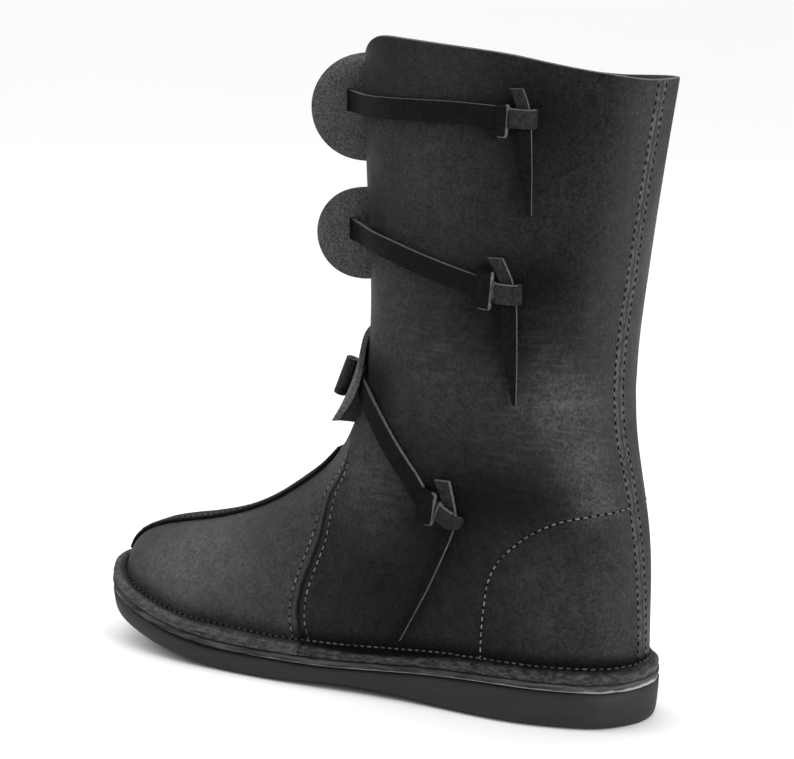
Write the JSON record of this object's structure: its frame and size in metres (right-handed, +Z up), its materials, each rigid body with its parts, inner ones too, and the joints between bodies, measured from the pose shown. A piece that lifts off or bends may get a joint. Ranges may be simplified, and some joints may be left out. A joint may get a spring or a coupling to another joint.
{
  "type": "medieval leather boot",
  "caption": "Left mid-calf leather boot with a wrapped front, closed by knotted straps, rounded tabs and rolled toggles, on a flat rubber sole with a low heel and a sprung toe.",
  "frame": {"origin": "centre of the bounding box on the floor plane", "axes": "+Z up the shaft, -Y towards the toe, +X towards the outer (lateral) side with the knots"},
  "size_m": [0.1134, 0.3122, 0.313],
  "materials": {
    "sole_rubber": "matt black rubber with a smooth side",
    "midsole_leather": "rough cut edge",
    "insole_leather": "plain matt",
    "upper_leather": "charcoal pull-up leather, fine grain, worn and slightly glossy",
    "strip_leather": "dark, stitched along its edges",
    "tab_leather": "speckled suede on the flesh side",
    "toggle_leather": "rolled leather",
    "strap_leather": "dark with paler cut edges"
  },
  "bodies": {
    "root": {"outsole": "sole_rubber", "midsole": "midsole_leather", "insole": "insole_leather", "upper": "upper_leather", "vamp_strip": "strip_leather", "tab_top": "tab_leather", "tab_middle": "tab_leather", "tab_bottom": "tab_leather", "toggle_top": "toggle_leather", "toggle_middle": "toggle_leather", "toggle_bottom": "toggle_leather", "strap_top": "strap_leather", "strap_middle": "strap_leather", "strap_bottom": "strap_leather", "loop_top": "strap_leather", "loop_middle": "strap_leather", "loop_bottom": "strap_leather", "band_top": "strap_leather", "band_middle": "strap_leather", "band_bottom": "strap_leather", "tail_top": "strap_leather", "tail_middle": "strap_leather", "tail_bottom": "strap_leather"}
  },
  "joints": []
}
